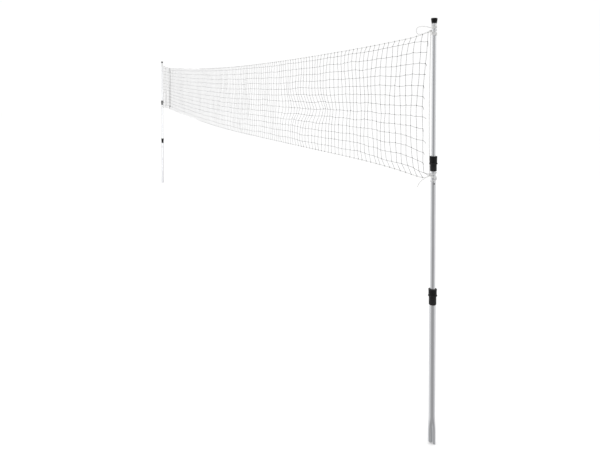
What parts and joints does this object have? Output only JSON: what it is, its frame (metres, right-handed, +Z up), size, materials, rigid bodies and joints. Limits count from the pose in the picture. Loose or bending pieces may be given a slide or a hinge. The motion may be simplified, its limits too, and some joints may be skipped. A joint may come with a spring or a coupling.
{
  "type": "volleyball net on poles",
  "caption": "Knotted volleyball net with rope borders, tied between telescopic twist-lock poles with crimped ground spikes.",
  "frame": {"origin": "on the ground line midway between the two poles, at the height of the spike tips", "axes": "+X along the net towards the near pole, +Z up the poles, Y across the net"},
  "size_m": [9.563, 0.0532, 2.49],
  "materials": {
    "pole_metal": "satin",
    "black_plastic": "satin",
    "guide_plastic": "satin",
    "black_screw": "satin",
    "white_rope": "matte",
    "net_twine": "matte"
  },
  "bodies": {
    "ground_posts": {"far_lower_collet": "guide_plastic", "far_lower_lock_body": "black_plastic", "far_lower_stop_ring": "guide_plastic", "far_lower_stop_screw": "black_screw", "far_lower_tube": "pole_metal", "near_lower_collet": "guide_plastic", "near_lower_lock_body": "black_plastic", "near_lower_stop_ring": "guide_plastic", "near_lower_stop_screw": "black_screw", "near_lower_tube": "pole_metal"},
    "near_mid": {"far_side_cord": "white_rope", "foot_cord": "white_rope", "head_cord": "white_rope", "near_bottom_tail": "white_rope", "near_bottom_tie": "white_rope", "near_mid_bush": "guide_plastic", "near_mid_tube": "pole_metal", "near_side_cord": "white_rope", "near_upper_collet": "guide_plastic", "near_upper_lock_body": "black_plastic", "near_upper_stop_ring": "guide_plastic", "near_upper_stop_screw": "black_screw", "net_mesh": "net_twine"},
    "near_top": {"near_cap": "black_plastic", "near_top_bush": "guide_plastic", "near_top_tail": "white_rope", "near_top_tie": "white_rope", "near_top_tube": "pole_metal"},
    "near_lower_nut": {"near_lower_lock_nut": "black_plastic"},
    "near_upper_nut": {"near_upper_lock_nut": "black_plastic"},
    "far_mid": {"far_bottom_tie": "white_rope", "far_mid_bush": "guide_plastic", "far_mid_tube": "pole_metal", "far_upper_collet": "guide_plastic", "far_upper_lock_body": "black_plastic", "far_upper_stop_ring": "guide_plastic", "far_upper_stop_screw": "black_screw"},
    "far_top": {"far_cap": "black_plastic", "far_top_bush": "guide_plastic", "far_top_tie": "white_rope", "far_top_tube": "pole_metal"},
    "far_lower_nut": {"far_lower_lock_nut": "black_plastic"},
    "far_upper_nut": {"far_upper_lock_nut": "black_plastic"}
  },
  "joints": [
    {"name": "near_mid_slide", "type": "slide", "parent": "ground_posts", "child": "near_mid", "axis": [0, 0, -1], "range_m": [0, 0.52]},
    {"name": "near_top_slide", "type": "slide", "parent": "near_mid", "child": "near_top", "axis": [0, 0, -1], "range_m": [0, 0.62], "deforming": ["head_cord", "near_side_cord", "far_side_cord"]},
    {"name": "far_mid_slide", "type": "slide", "parent": "ground_posts", "child": "far_mid", "axis": [0, 0, -1], "range_m": [0, 0.52]},
    {"name": "far_top_slide", "type": "slide", "parent": "far_mid", "child": "far_top", "axis": [0, 0, -1], "range_m": [0, 0.62]},
    {"name": "near_lower_nut_twist", "type": "hinge", "parent": "ground_posts", "child": "near_lower_nut", "pos_m": [4.755, 0, 0.895], "axis": [0, 0, 1], "range_deg": [0, 120]},
    {"name": "near_upper_nut_twist", "type": "hinge", "parent": "near_mid", "child": "near_upper_nut", "pos_m": [4.755, 0, 1.668], "axis": [0, 0, 1], "range_deg": [0, 120]},
    {"name": "far_lower_nut_twist", "type": "hinge", "parent": "ground_posts", "child": "far_lower_nut", "pos_m": [-4.755, 0, 0.895], "axis": [0, 0, 1], "range_deg": [0, 120]},
    {"name": "far_upper_nut_twist", "type": "hinge", "parent": "far_mid", "child": "far_upper_nut", "pos_m": [-4.755, 0, 1.668], "axis": [0, 0, 1], "range_deg": [0, 120]}
  ],
  "couplings": [
    {"joint": "far_mid_slide", "follows": "near_mid_slide", "ratio": 1},
    {"joint": "far_top_slide", "follows": "near_top_slide", "ratio": 1}
  ]
}
